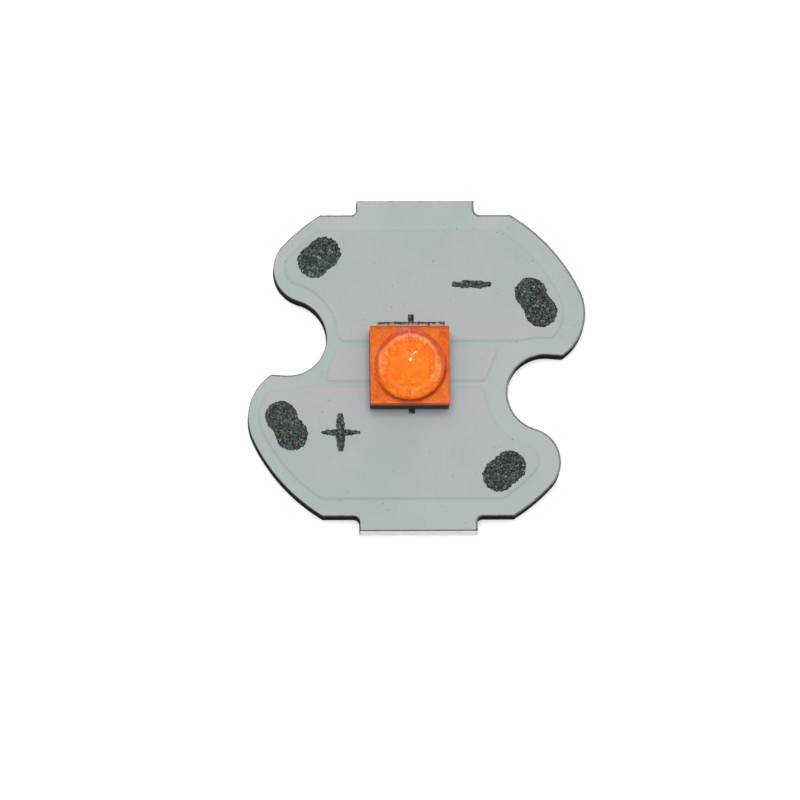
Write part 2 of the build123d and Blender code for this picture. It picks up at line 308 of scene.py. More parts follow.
# %% Floor
FLOOR_HALF, FLOOR_GLOW = 3.0, 0.42
floor_mesh = bpy.data.meshes.new("floor")
signs = [(-1, -1), (1, -1), (1, 1), (-1, 1)]
corners = [(x * FLOOR_HALF, y * FLOOR_HALF, 0) for x, y in signs]
floor_mesh.from_pydata(corners, [], [(0, 1, 2, 3)])
floor = linked("floor", floor_mesh)

paper = bpy.data.materials.new("floor_paper")
paper.use_nodes = True
sheet = Sheet(paper.node_tree)
camera_ray, glossy_ray, clear_ray = (sheet.node("LightPath", output=i) for i in (0, 3, 6))
seen = camera_ray.max(glossy_ray).max(clear_ray)
grain = sheet.node("TexNoise", {"Scale": 900.0, "Detail": 3.0})
plain = sheet.node("BsdfDiffuse", {0: linear((150, 150, 150))})
pale = sheet.node("BsdfDiffuse", {0: sheet.mix(grain, (250, 250, 250), WHITE)})
glowing = sheet.node("Emission", {0: linear(WHITE), 1: FLOOR_GLOW})
shown = sheet.node("AddShader", {0: pale, 1: glowing})
sheet.end_with("Material", sheet.node("MixShader", {0: seen, 1: plain, 2: shown}))
floor_mesh.materials.append(paper)
print("floor", 2 * FLOOR_HALF, "m wide,", len(sheet.tree.nodes), "nodes")

# %% [markdown]
# ## Drawing helpers
# Every layer of the board shares one punched outline, so it is drawn by one function that can also
# draw it a little smaller. It is half an outline, turned onto itself by half a turn, exactly as the
# punch that made it.

# %% Lines and arcs
def unit(degrees):
    angle = math.radians(degrees)
    return np.array([math.cos(angle), math.sin(angle)])


def left_of(way):
    return np.array([-way[1], way[0]])


def line(start, end, step):
    count = max(1, math.ceil(np.linalg.norm(end - start) / step))
    return start + (end - start) * (np.arange(count) / count)[:, None]


def arc(centre, start, end, step):
    """Points on the short arc from start up to, but not including, end."""
    radius = np.linalg.norm(start - centre)
    first = math.atan2(*(start - centre)[::-1])
    last = math.atan2(*(end - centre)[::-1])
    sweep = (last - first + math.pi) % (2 * math.pi) - math.pi
    count = max(2, math.ceil(abs(sweep) * radius / step))
    angles = first + sweep * np.arange(count) / count
    return centre + radius * np.stack([np.cos(angles), np.sin(angles)], axis=1)


def far_crossing(point, way, centre, radius):
    """Where a line leaves a circle."""
    along = (centre - point) @ way
    offset = (centre - point) @ left_of(way)
    return point + way * (along + math.sqrt(radius ** 2 - offset ** 2))


def towards_point(start, end):
    return (end - start) / np.linalg.norm(end - start)


def place_beside(point, reach, gap, side):
    """The point a set reach from the origin and a set gap from another point."""
    distance = np.linalg.norm(point)
    along = (distance ** 2 + reach ** 2 - gap ** 2) / (2 * distance)
    across = math.sqrt(reach ** 2 - along ** 2)
    return (point * along + left_of(point) * across * side) / distance


# %% The punched outline
def punched_outline(inset=0.0, step=0.06):
    """The board's outline as one closed run of points, drawn inset inside the edge."""
    origin = np.zeros(2)
    radius, flat = BOARD_RADIUS - inset, FLAT - inset
    end, side = TAB_END - inset, TAB_HALF_WIDTH - inset
    corner = TAB_CORNER + inset
    notch = unit(NOTCH_ANGLE) * NOTCH_PITCH
    lip = unit(LIP_ANGLE)
    notch_top = notch + left_of(lip) * (NOTCH_RADIUS + inset)
    sharp_tip = notch + left_of(lip) * NOTCH_RADIUS + lip * LIP_LENGTH
    nose = place_beside(sharp_tip, BOARD_RADIUS - NOSE_RADIUS, NOSE_RADIUS, 1)
    tip_radius = TIP_RADIUS - inset
    tip = far_crossing(notch_top + left_of(lip) * tip_radius, lip, nose, NOSE_RADIUS - TIP_RADIUS)
    tip_on_nose = nose + towards_point(nose, tip) * (NOSE_RADIUS - inset)
    tip_on_lip = tip - left_of(lip) * tip_radius
    lobe = place_beside(notch, BOARD_RADIUS - LOBE_RADIUS, NOTCH_RADIUS + LOBE_RADIUS, -1)
    notch_bottom = notch + towards_point(notch, lobe) * (NOTCH_RADIUS + inset)
    flat_end = np.array([math.sqrt(radius ** 2 - flat ** 2), flat])
    fillet, low_fillet = (side + corner, flat + corner), (side + corner, -flat - corner)
    # where each run ends, with the centre of its arc or None for a line
    stops = [
        (None, (-side, end)),
        (None, (side, end)),
        (None, (side, flat + corner)),
        (fillet, (side + corner, flat)),
        (None, flat_end),
        (origin, towards_point(origin, nose) * radius),
        (nose, tip_on_nose),
        (tip, tip_on_lip),
        (None, notch_top),
        (notch, notch_bottom),
        (lobe, towards_point(origin, lobe) * radius),
        (origin, flat_end * (1, -1)),
        (None, (side + corner, -flat)),
        (low_fillet, (side, -flat - corner)),
        (None, (side, -end)),
    ]
    runs = []
    for (_, start), (centre, stop) in zip(stops, stops[1:]):
        ends = np.array(start), np.array(stop)
        runs.append(line(*ends, step) if centre is None else arc(np.array(centre), *ends, step))
    half = np.concatenate(runs)
    return np.concatenate([half, -half])[::-1]


outline = punched_outline()
print("outline:", len(outline), "points,", np.ptp(outline, axis=0).round(3), "mm")

# %% Working on closed outlines
def outward(loop):
    """The direction out of a closed, anticlockwise loop at each point."""
    along = np.roll(loop, -1, axis=0) - np.roll(loop, 1, axis=0)
    along /= np.linalg.norm(along, axis=1, keepdims=True) + 1e-12
    return np.stack([along[:, 1], -along[:, 0]], axis=1)


def moved_out(loop, by):
    """A loop with each point moved outward by one distance, or each by its own."""
    return loop + outward(loop) * np.reshape(by, (-1, 1))


def anticlockwise(loop):
    following = np.roll(loop, -1, axis=0)
    area = np.sum(loop[:, 0] * following[:, 1] - following[:, 0] * loop[:, 1])
    return loop if area > 0 else loop[::-1]


def resampled(loop, step):
    """The same closed loop with its points no more than step apart."""
    pairs = zip(loop, np.roll(loop, -1, axis=0))
    return np.concatenate([line(start, end, step) for start, end in pairs])


def is_inside(points, loop):
    """Which points lie inside a closed loop, by counting crossings."""
    inside = np.zeros(len(points), bool)
    for (x0, y0), (x1, y1) in zip(loop, np.roll(loop, -1, axis=0)):
        if y0 != y1:
            crosses = (points[:, 1] > y0) != (points[:, 1] > y1)
            at = x0 + (points[:, 1] - y0) * (x1 - x0) / (y1 - y0)
            inside ^= crosses & (points[:, 0] < at)
    return inside


def distance_to(points, loop):
    """Distance from each point to a closed loop, negative inside it."""
    best = np.full(len(points), np.inf)
    for start, end in zip(loop, np.roll(loop, -1, axis=0)):
        run = end - start
        along = np.clip((points - start) @ run / (run @ run + 1e-12), 0, 1)
        gap = points - start - along[:, None] * run
        best = np.minimum(best, np.einsum("ij,ij->i", gap, gap))
    return np.sqrt(best) * np.where(is_inside(points, loop), -1, 1)


def ripple(points, size, seed):
    """Smooth noise from -1 to 1 at points in the plane, its bumps about size across."""
    return np.array([noise.noise(Vector((x / size, y / size, seed))) for x, y in points])


def smooth_step(value, low, high):
    part = np.clip((value - low) / (high - low), 0, 1)
    return part * part * (3 - 2 * part)


print("middle to edge:", -distance_to(np.zeros((1, 2)), outline)[0].round(3), "mm")

# %% Outlines of CAD faces
def rims(node, level):
    """The closed outlines of a CAD node's flat faces at a level, in millimetres."""
    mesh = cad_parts[node].data
    corners = [tuple((v.co / MM)[:]) for v in mesh.vertices]
    edges = {}
    for face in mesh.polygons:
        if all(abs(corners[i][2] - level) < 1e-3 for i in face.vertices):
            ring = [(round(corners[i][0], 4), round(corners[i][1], 4)) for i in face.vertices]
            edges.update(dict.fromkeys(zip(ring, ring[1:] + ring[:1])))
    following = {start: end for start, end in edges if (end, start) not in edges}
    loops = []
    while following:
        start = next(iter(following))
        loop = [start]
        while loop[-1] in following:
            loop.append(following.pop(loop[-1]))
        loops.append(np.array(loop[:-1]))
    return loops


copper_outlines = []
for node in ("cathode_copper", "thermal_copper", "anode_copper"):
    copper_outlines += [anticlockwise(loop) for loop in rims(node, copper_top)]
print("copper outlines:", [len(loop) for loop in copper_outlines])

# %% [markdown]
# ## Turning outlines into meshes
# Two ways of making a solid cover this whole object. Walls are rings of points stacked up and
# joined, as a lathe hand thinks of a profile. Flat films are triangulated inside their outlines and
# then each point is lifted to its height, which lets a lacquer climb over the foil under it.

# %% Pieces
def as_piece(name, shape, finish, replaces, sharp=35.0):
    """Makes an object from points in millimetres and ties it to the frame."""
    points, faces = shape
    mesh = bpy.data.meshes.new(name)
    mesh.from_pydata([tuple(p) for p in np.asarray(points) * MM], [], faces)
    mesh.update()
    mesh.set_sharp_from_angle(angle=math.radians(sharp))
    mesh.polygons.foreach_set("use_smooth", [len(face.vertices) < 5 for face in mesh.polygons])
    mesh.materials.append(finish)
    made = linked(name, mesh)
    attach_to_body(made, "root")
    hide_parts(*replaces)
    print("piece", name, len(mesh.polygons), "faces")


# %% Flat fillings
def scatter(low, high, pitch, shake, seed):
    """A square lattice of points with each one shaken out of line."""
    random = np.random.default_rng(seed)
    columns, rows = (np.arange(low[i], high[i], pitch) for i in (0, 1))
    points = np.stack([grid.ravel() for grid in np.meshgrid(columns, rows)], axis=1)
    return points + random.uniform(-shake, shake, points.shape) * pitch


def triangulated(edge, lattice, holes, lines):
    """Triangles inside an edge and outside its holes, with rows of points along the lines."""
    spots, edges = [], []
    for loop in (edge, *holes, *lines):
        first = len(spots)
        spots += [Vector(p) for p in loop.tolist()]
        edges += [(first + i, first + (i + 1) % len(loop)) for i in range(len(loop))]
    spots += [Vector(p) for p in lattice.tolist()]
    found = geometry.delaunay_2d_cdt(spots, edges, [], 0, 1e-5)
    points = np.array([tuple(v) for v in found[0]])
    triangles = np.array(found[2])
    middles = points[triangles].mean(axis=1)
    keep = is_inside(middles, edge)
    for hole in holes:
        keep &= ~is_inside(middles, hole)
    used, numbers = np.unique(triangles[keep], return_inverse=True)
    return points[used], numbers.reshape(-1, 3)


def filled(edge, pitch, shake, seed, margin, holes=(), lines=()):
    """Triangles inside an edge, over a shaken lattice that keeps a margin to it."""
    lattice = scatter(edge.min(axis=0), edge.max(axis=0), pitch, shake, seed)
    lattice = lattice[distance_to(lattice, edge) < -margin]
    return triangulated(edge, lattice, holes, lines)


print("the outline takes", len(filled(outline, 0.4, 0.3, 5, 0.12)[1]), "triangles")

# %% Walls and films
def at_level(ring, level):
    return np.column_stack([ring, np.full(len(ring), level)])


def stacked(rings, cap_spacing=None):
    """A closed wall through rings of one count. Wide caps get triangles instead of one face."""
    count, faces = len(rings[0]), []
    points = np.concatenate(rings)
    for low in range(0, len(points) - count, count):
        for i in range(count):
            j = (i + 1) % count
            faces.append((low + i, low + j, low + count + j, low + count + i))
    for ring, first, turn in ((rings[0], 0, -1), (rings[-1], len(points) - count, 1)):
        if cap_spacing is None:
            faces.append(tuple(range(first, first + count))[::turn])
            continue
        spots, triangles = filled(ring[:, :2], cap_spacing, 0.3, 5, 0.3 * cap_spacing)
        numbers = np.arange(len(spots)) + len(points) - count
        numbers[:count] = first + np.arange(count)
        points = np.concatenate([points, at_level(spots[count:], ring[0, 2])])
        faces += [tuple(corners[::turn]) for corners in numbers[triangles].tolist()]
    return points, faces


def film(points, triangles, top, bottom):
    """A closed film between two heights, each one number or a number for each point."""
    count = len(points)
    solid = np.concatenate([at_level(points, top), at_level(points, bottom)])
    faces = [tuple(t) for t in triangles.tolist()]
    edges = {(a, b) for t in faces for a, b in zip(t, t[1:] + t[:1])}
    faces += [tuple(i + count for i in reversed(t)) for t in faces]
    for a, b in edges:
        if (b, a) not in edges:
            faces.append((b, a, a + count, b + count))
    return solid, faces


# %% [markdown]
# ## Aluminium base
# The base is punched from sheet. A punched wall has a rolled edge where the tool went in, then a
# smooth burnished band, then a torn band. The tab ends were V-scored and snapped from the panel.
# All of that is in the rings: each one has its height, how far it draws in, and how rough it is.

# %% Finish of the aluminium
def aluminium_finish():
    f = Finish("punched_aluminium")
    y, z = f.axes(f.place)[1:]
    facing = f.facing()
    wall = 1 - abs(facing[2]).step(0.35, 0.8)
    streaks = f.noise(0.05, 3.0, 0.6, f.stretched(1, 1, 0.12))
    torn = z.step(0.36, 0.44) * f.noise(0.09, 4.0, 0.65)
    snapped = abs(y).step(FLAT + 0.15, FLAT + 0.3) * abs(facing[1]).step(0.6, 0.8)
    brushed = f.noise(0.06, 3.0, 0.6, f.stretched(1, 0.02, 1)) * 0.5
    brushed = brushed + f.noise(0.047, 3.0, 0.6, f.stretched(1, 0.031, 1)) * 0.5
    dull = f.noise(2.0, 3.0)
    flat_colour = f.layers((176, 179, 182), (brushed, (206, 208, 210)),
                           (dull * 0.35, (150, 152, 154)))
    # Painted shade: the walls are painted nearly black, as walls that face away from the overhead
    # light look, with their streaks and torn band lighter.
    shaded_wall_colour = f.layers((14, 20, 19), (streaks, (38, 45, 44)), (torn * 0.7, (58, 64, 64)))
    # The snapped flanks are painted nearly white: partly bright fresh metal, partly a painted
    # reflection of the pale floor in front.
    bright = f.mix(streaks, (226, 228, 230), (250, 251, 252))
    colour = f.mix(wall, flat_colour, f.mix(snapped, shaded_wall_colour, bright))
    roughness = 0.34 + wall * 0.14 + torn * 0.2 + brushed * 0.12
    relief = f.bump((streaks * 0.5 + torn) * wall + brushed * 0.3, 0.012)
    return f.surface(colour, roughness, 0.9, relief, Specular_Tint=(0.25, 0.27, 0.27, 1.0))


# %% The base itself
def tab_reach(level):
    """How far out the tab ends lie at a level, where the score grooves cut them away."""
    cut = max(0.0, SCORE_DEPTH - level, level - (insulation_top - SCORE_DEPTH)) * SCORE_SLOPE
    return TAB_END - cut


def blank_ring(level, inset, shake):
    """The punched outline at one level, drawn in by an inset and a little noise."""
    away = outward(outline)
    ring = outline - away * inset
    root = FLAT + 2 * TAB_CORNER
    on_tab = np.abs(outline[:, 1]) > root
    tab = outline[on_tab]
    part = (np.abs(tab[:, 1]) - root) / (TAB_END - root)
    ring[on_tab, 0] = tab[:, 0] * (1 - inset / TAB_HALF_WIDTH)
    ring[on_tab, 1] = np.sign(tab[:, 1]) * (root + part * (tab_reach(level) - inset - root))
    return at_level(ring - away * shake[:, None], level)


def rolled_out(loop, level):
    """A wall's points when it is rolled out flat: how far along it, and at what level."""
    length = np.cumsum(np.linalg.norm(loop - np.roll(loop, 1, axis=0), axis=1))
    return at_level(length, level)


def punched_sheet(profile, shake_at):
    """A sheet from rings, each one a level, an inset and a roughness."""
    rings = [blank_ring(level, inset, shake_at(level, rough)) for level, inset, rough in profile]
    return stacked(rings, cap_spacing=0.4)


def torn_wall(level, rough):
    """How far the wall is torn inward at a level, with the snapped web on the tabs."""
    place = rolled_out(outline, level * 2.2)
    shake = np.abs(ripple(place, 0.11, 3.0)) * rough + np.abs(ripple(place, 0.33, 5.0)) * rough
    on_tab_end = np.abs(outline[:, 1]) > TAB_END - 1e-3
    snapped = SCORE_DEPTH - 0.02 < level < insulation_top - SCORE_DEPTH + 0.02
    return shake + on_tab_end * snapped * (0.02 + 0.03 * np.abs(ripple(place, 0.16, 9.0)))


base_profile = [
    (0.0, 0.085, 0.0), (0.012, 0.05, 0.0), (0.035, 0.02, 0.001), (0.07, 0.008, 0.001),
    (0.12, 0.006, 0.001), (0.24, 0.006, 0.002), (0.33, 0.006, 0.003), (0.36, 0.006, 0.007),
    (0.40, 0.012, 0.012), (0.47, 0.014, 0.014), (0.55, 0.014, 0.014), (0.63, 0.012, 0.014),
    (0.71, 0.010, 0.013), (0.79, 0.008, 0.012), (0.86, 0.007, 0.008), (base_top, 0.006, 0.004),
]
shape = punched_sheet(base_profile, torn_wall)
as_piece("punched_base", shape, aluminium_finish(), ["aluminium_base"])

# %% [markdown]
# ## Insulating layer
# A tenth of a millimetre of filled resin carries the copper and insulates it. Punching leaves its
# edge slightly crumbled. The lacquer stops short of it, so a thin grey line of it shows on the
# sides that the lacquer was printed away from.

# %% Insulation
def insulation_finish():
    f = Finish("filled_resin")
    grains = f.noise(0.07, 4.0, 0.7)
    side = 1 - abs(f.facing()[2]).step(0.4, 0.8)
    colour = f.mix(grains.step(0.35, 0.65), (104, 111, 110), (148, 154, 152))
    end = abs(f.axes(f.place)[1]).step(TAB_END - 0.2, TAB_END - 0.08)
    # The sides and the tab ends are painted dark: partly the broken resin's own colour, partly
    # painted shade on edges that face away from the light.
    dark = f.mix(grains.step(0.4, 0.6), (40, 46, 44), (84, 90, 88))
    colour = f.mix(side.max(end), colour, dark)
    return f.surface(colour, 0.62 + grains * 0.2, 0.0, f.bump(grains, 0.01))


def crumbled_wall(level, rough):
    place = rolled_out(outline, level * 3)
    return (np.abs(ripple(place, 0.1, 21.0)) + 0.6 * np.abs(ripple(place, 0.4, 23.0))) * rough


insulation_profile = [
    (base_top, 0.006, 0.006), (0.94, 0.006, 0.012),
    (0.975, 0.006, 0.018), (insulation_top, 0.012, 0.022),
]
shape = punched_sheet(insulation_profile, crumbled_wall)
as_piece("insulating_sheet", shape, insulation_finish(), ["dielectric_layer"])

# %% [markdown]
# ## Tin
# Where the lacquer is left open, the copper carries a thin, coarse skin of tin. It looks dark and
# speckled because each grain is tilted its own way. So each patch is a real field of tilted grains
# and its rim is ragged. The finish paints each grain its own darkness as a painted reflection of
# its tilt, paints glints on a share of the grains and along ridges, and paints shade in the low
# spots.

# %% Finish of the tin
TIN_GRAIN = 0.08


def tin_finish(name, glint_share, hue):
    """Grains with a painted brightness each: the second argument is how many carry a painted glint,
    hue tints them in clouds.
    """
    f = Finish(name)
    tints = f.cells(TIN_GRAIN, output=1)
    grain_colour = f.axes(tints)
    edges = f.cells(TIN_GRAIN, feature="DISTANCE_TO_EDGE")
    clouds = f.noise(0.5, 3.0)
    bright = grain_colour[0].step(0.84, 1.0)
    seams = abs(f.noise(0.2, 2.0, 0.6) - 0.5)
    ridges = abs(f.noise(0.14, 1.0, 0.5, f.stretched(1, 1, 3)) - 0.52)
    low_spot_shade = 1 - f.axes(f.place)[2].step(mask_top + 0.003, mask_top + 0.012)
    # Painted light: each grain's darkness is a painted reflection of its tilt, the bright grains
    # and the ridges carry painted glints, and the low spots carry painted shade.
    colour = f.layers(
        (4, 9, 9),
        (grain_colour[1], (60, 74, 70)),
        (clouds.step(0.35, 0.7) * 0.55, hue),
        (0.08, tints),
        (bright * glint_share, (176, 186, 182)),
        (1 - edges.step(0.0, 0.09), (16, 20, 20)),
        (1 - seams.step(0.015, 0.05), (10, 13, 13)),
        ((1 - ridges.step(0.012, 0.035)) * glint_share, (128, 142, 138)),
        (low_spot_shade * 0.85, (14, 18, 18)),
    )
    roughness = 0.45 + grain_colour[2] * 0.25
    return f.surface(colour, roughness, 0.5, f.bump(f.noise(0.03, 3.0), 0.004))


dark_tin = tin_finish("grainy_tin_dark", 0.6, (22, 40, 56))
green_tin = tin_finish("grainy_tin_green", 0.7, (76, 98, 86))
grey_tin = tin_finish("grainy_tin_grey", 0.55, (60, 78, 62))

# %% Ragged outlines for the openings
def opening_over(node):
    """The outline of a tin or solder node where it lies on the copper."""
    return anticlockwise(max(rims(node, copper_top), key=len))


def tapered(loop, across, upright, taper=0.75):
    """Thins the arms of a printed mark towards their ends."""
    middle = (loop.min(axis=0) + loop.max(axis=0)) / 2
    reach = np.ptp(loop, axis=0).max() / 2
    spot = loop - middle
    flat_arm = np.abs(spot[:, 0]) >= np.abs(spot[:, 1])
    thin_y = across * (1.1 - taper * (np.abs(spot[:, 0]) / reach) ** 1.6)
    thin_x = upright * (1.1 - 0.6 * (np.abs(spot[:, 1]) / reach) ** 1.6)
    spot[flat_arm, 1] *= thin_y[flat_arm]
    spot[~flat_arm, 0] *= thin_x[~flat_arm]
    return middle + spot


def flowed(loop, times):
    """Lets the narrow waist between two overlapping discs fill in, as a paste opening does."""
    for _ in range(times):
        loop = (np.roll(loop, 1, axis=0) + loop * 2 + np.roll(loop, -1, axis=0)) / 4
    return loop


def ragged(loop, depth, seed):
    """A closed loop with small teeth and bays."""
    fine = resampled(loop, 0.03)
    teeth = 0.8 * ripple(fine, 0.1, seed) + 0.6 * ripple(fine, 0.22, seed + 7)
    return moved_out(fine, teeth * depth)


# %% Grainy tin patches
def grain_height(points, pitch, seed):
    """Height of tilted, domed grains, from 0 to about 1."""
    random = np.random.default_rng(seed)
    low, high = points.min(axis=0) - pitch, points.max(axis=0) + pitch
    seeds = scatter(low, high, pitch, 0.45, seed)
    tilt = random.uniform(-1, 1, seeds.shape)
    lift = random.uniform(0, 1, len(seeds))
    result, batch = np.empty(len(points)), 400
    for i in range(0, len(points), batch):
        part = points[i:i + batch]
        gap = np.linalg.norm(part[:, None] - seeds[None], axis=2)
        nearest = gap.argmin(axis=1)
        offset = part - seeds[nearest]
        dome = 1 - (gap.min(axis=1) / pitch) ** 2
        slope = np.einsum("ij,ij->i", offset, tilt[nearest]) / pitch
        result[i:i + batch] = 0.45 * dome + 0.35 * lift[nearest] + 0.5 * slope
    return result


def make_tin(name, node, loop, finish, seed):
    """A patch of tin inside a ragged loop, just proud of the lacquer round it."""
    points, triangles = filled(loop, 0.034, 0.3, seed, 0.012)
    rise = smooth_step(-distance_to(points, loop), -0.02, 0.05)
    height = mask_top + 0.002 + 0.022 * grain_height(points, 0.075, seed) * rise
    shape = film(points, triangles, height, copper_top)
    as_piece(name, shape, finish, [node], sharp=50)


# piece, CAD node, finish, depth of the teeth and seed
tin_patches = [
    ("upper_left_pad", "cathode_pad_tin_left", green_tin, 0.08, 1),
    ("upper_right_pad", "cathode_pad_tin_right", dark_tin, 0.055, 2),
    ("lower_left_pad", "anode_pad_tin_left", grey_tin, 0.06, 3),
    ("lower_right_pad", "anode_pad_tin_right", dark_tin, 0.07, 4),
    ("minus_mark", "minus_mark_tin", dark_tin, 0.065, 5),
    ("plus_mark", "plus_mark_tin", green_tin, 0.045, 6),
    ("rear_tick", "cathode_tick_tin", green_tin, 0.03, 7),
    ("front_tick", "anode_tick_tin", dark_tin, 0.02, 8),
]
tin_loops = []
for name, node, finish, depth, seed in tin_patches:
    loop = resampled(opening_over(node), 0.05)
    if name.endswith("pad"):
        loop = flowed(loop, 40)
    if name == "minus_mark":
        loop = tapered(loop, 1.05, 1.0, 0.6)
    if name == "plus_mark":
        loop = tapered(loop, 0.9, 1.2)
    loop = ragged(loop, depth, seed * 11.0)
    tin_loops.append(loop)
    make_tin(name, node, loop, finish, seed)

# %% [markdown]
# ## Lacquer
# The solder mask is a film about three hundredths of a millimetre thick. It lies on the insulation,
# climbs the edge of the foil and lies higher on top of it, and that soft shoulder is what draws the
# faint lines on the real board. The film is triangulated with rows of points along each shoulder.

# %% Finish of the lacquer
def lacquer_finish():
    f = Finish("grey_lacquer")
    y, z = f.axes(f.place)[1:]
    on_copper = z.step(insulation_top + 0.045, mask_top - 0.005)
    clouds = f.noise(2.6, 3.0, 0.55)
    fine = f.noise(0.12, 3.0, 0.6)
    cloudy = clouds.step(0.35, 0.65)
    middle = 1 - (abs(y) + clouds * 1.2).step(1.6, 4.2)
    on_resin = f.mix(cloudy, (174, 186, 184), (182, 190, 189))
    over_foil = f.layers((174, 182, 182), (cloudy, (181, 186, 187)),
                         (middle * 0.85, (185, 186, 189)))
    grit = f.noise(0.07, 2.0, 0.7)
    dust = f.cells(0.26)
    pick = f.axes(f.cells(0.26, output=1))
    specks = (1 - dust.step(0.05, 0.14)) * (pick[0] > 0.78)
    colour = f.layers(
        f.mix(on_copper, on_resin, over_foil),
        (grit.step(0.5, 0.8) * 0.3, (150, 158, 157)),
        ((1 - grit.step(0.2, 0.45)) * 0.3, (206, 210, 210)),
        (specks * (0.2 + pick[1] * 0.7), (70, 74, 78)),
    )
    relief = f.bump(fine, 0.002)
    return f.surface(colour, 0.5 + fine * 0.12, 0.0, relief, Specular_IOR_Level=0.18)


# %% The edge of the film
LACQUER_THICKNESS, LACQUER_ON_RESIN, LACQUER_EDGE = 0.035, 0.04, 0.03
joint_nodes = ["cathode_solder_joint", "thermal_solder_joint", "anode_solder_joint"]


def film_outline():
    """The lacquer's own edge: printed a little off centre and slightly chipped by the punch."""
    edge = punched_outline(MASK_INSET)
    place = rolled_out(edge, 0.0)
    reach = np.abs(edge[:, 1])
    chipped = 0.006 + 0.014 * smooth_step(reach, FLAT - 0.2, FLAT - 0.05)
    chipped += 0.05 * smooth_step(reach, TAB_END - 0.12, TAB_END - 0.08)
    shake = (ripple(place, 0.12, 31.0) + 0.8 * ripple(place, 0.45, 33.0)) * chipped
    edge = edge + MASK_SHIFT - outward(edge) * np.abs(shake)[:, None]
    limit = tab_reach(insulation_top + LACQUER_EDGE)
    return np.column_stack([edge[:, 0], np.clip(edge[:, 1], -limit, limit)])


film_edge = film_outline()
print("the film's edge:", len(film_edge), "points,", np.ptp(film_edge, axis=0).round(3), "mm")

# %% The film over the board
def lacquer_height(points):
    """Top of the lacquer: high over copper, low beside it, with a soft shoulder between."""
    beside = np.min([distance_to(points, loop) for loop in copper_outlines], axis=0)
    raised = 1 - smooth_step(beside, -0.01, 0.13)
    low = insulation_top + LACQUER_ON_RESIN
    return low + (mask_top - low) * raised + 0.0015 * ripple(points, 1.1, 41.0) * (1 - raised)


holes = [moved_out(loop, -0.012) for loop in tin_loops]
holes += [ragged(opening_over(node), 0.02, 51.0) for node in joint_nodes]
shoulders = []
for loop in copper_outlines:
    fine = resampled(loop, 0.12)
    shoulders += [moved_out(fine, by) for by in (-0.03, 0.01, 0.04, 0.07, 0.10, 0.14)]
points, triangles = filled(film_edge, 0.35, 0.2, 52, 0.1, holes, shoulders)
rounding = 1 - smooth_step(-distance_to(points, film_edge), 0.0, 0.03)
top = lacquer_height(points) - 0.012 * rounding
shape = film(points, triangles, top, np.maximum(insulation_top, top - LACQUER_THICKNESS))
as_piece("lacquer_film", shape, lacquer_finish(), ["solder_mask"], sharp=40)

# %% [markdown]
# ## Solder under the emitter
# Three joints hold the emitter: two electrodes and the heat pad. Only the heel behind the emitter
# shows from above. Molten solder pulls up against the part and thins out to the opening's edge, so
# the height follows the distance from the emitter's wall in a hollow curve.

# %% Finish and shape of the joints
def solder_finish():
    f = Finish("reflowed_solder")
    clouds = f.noise(0.16, 4.0, 0.6)
    heel = emitter_centre[1] + emitter_half
    lumps = f.noise(0.13, 3.0, 0.7)
    # A painted highlight: the solder that climbs the emitter's back wall is painted pale pink, as
    # its fillet reflects the orange coat and the light.
    fillet_highlight = 1 - (f.axes(f.place)[1] - heel + (lumps - 0.5) * 0.62).step(0.335, 0.375)
    colour = f.mix(clouds.step(0.45, 0.7), (30, 33, 33), (92, 94, 94))
    colour = f.mix(fillet_highlight, colour, f.mix(clouds, (150, 116, 104), (222, 198, 188)))
    return f.surface(colour, 0.4 + clouds * 0.25, 0.4, f.bump(f.noise(0.06, 3.0), 0.006))


def make_joint(name, node, finish, seed):
    loop = ragged(opening_over(node), 0.045, float(seed))
    points, triangles = filled(loop, 0.05, 0.3, seed, 0.02)
    beyond = np.abs(points - emitter_centre).max(axis=1) - emitter_half
    edge_gap = -distance_to(points, loop)
    climb = (land_bottom - 0.003 - mask_top) * (1 - smooth_step(beyond, -0.05, 0.30)) ** 1.5
    lumps = 0.010 * ripple(points, 0.12, seed) * smooth_step(beyond, 0.0, 0.1)
    height = mask_top + 0.004 + (climb + lumps) * smooth_step(edge_gap, -0.01, 0.10)
    shape = film(points, triangles, height, copper_top)
    as_piece(name, shape, finish, [node], sharp=50)


solder = solder_finish()
joint_names = ["rear_joint", "middle_joint", "front_joint"]
for seed, (name, node) in enumerate(zip(joint_names, joint_nodes), 61):
    make_joint(name, node, solder, seed)

# %% [markdown]
# ## Ceramic body
# The emitter stands on a small block of ceramic that was sawn from a panel. Sawing leaves fine
# marks along the walls and tiny chips along the edges, so its rings are rounded squares with a
# little noise, and the finish adds the saw lines.

# %% Finish and shape of the ceramic
def ceramic_finish():
    f = Finish("sawn_ceramic")
    saw = f.noise(0.05, 3.0, 0.6, f.stretched(0.15, 0.15, 1))
    clouds = f.noise(0.5, 3.0)
    dull = clouds.step(0.4, 0.7) * 0.5
    # The dark brown is partly the ceramic's own colour and partly painted shade of walls that face
    # away from the light.
    colour = f.layers((46, 33, 29), (saw, (78, 60, 53)), (dull, (44, 32, 28)))
    return f.surface(colour, 0.6 + saw * 0.15, 0.0, f.bump(saw, 0.006), Specular_IOR_Level=0.25)


def rounded_square(half, corner, per_side=48):
    """A square with rounded corners, centred on the emitter, the same count at any size."""
    inner = half - corner
    points = []
    for side, start in enumerate((-45, 45, 135, 225)):
        for angle in np.linspace(start, start + 90, per_side, endpoint=False):
            way = unit(angle)
            reach = way / np.abs(way).max() * half
            core = np.clip(reach, -inner, inner)
            out = reach - core
            length = np.linalg.norm(out)
            points.append(core + (out / length * corner if length > 1e-9 else out))
    return np.array(points) + emitter_centre


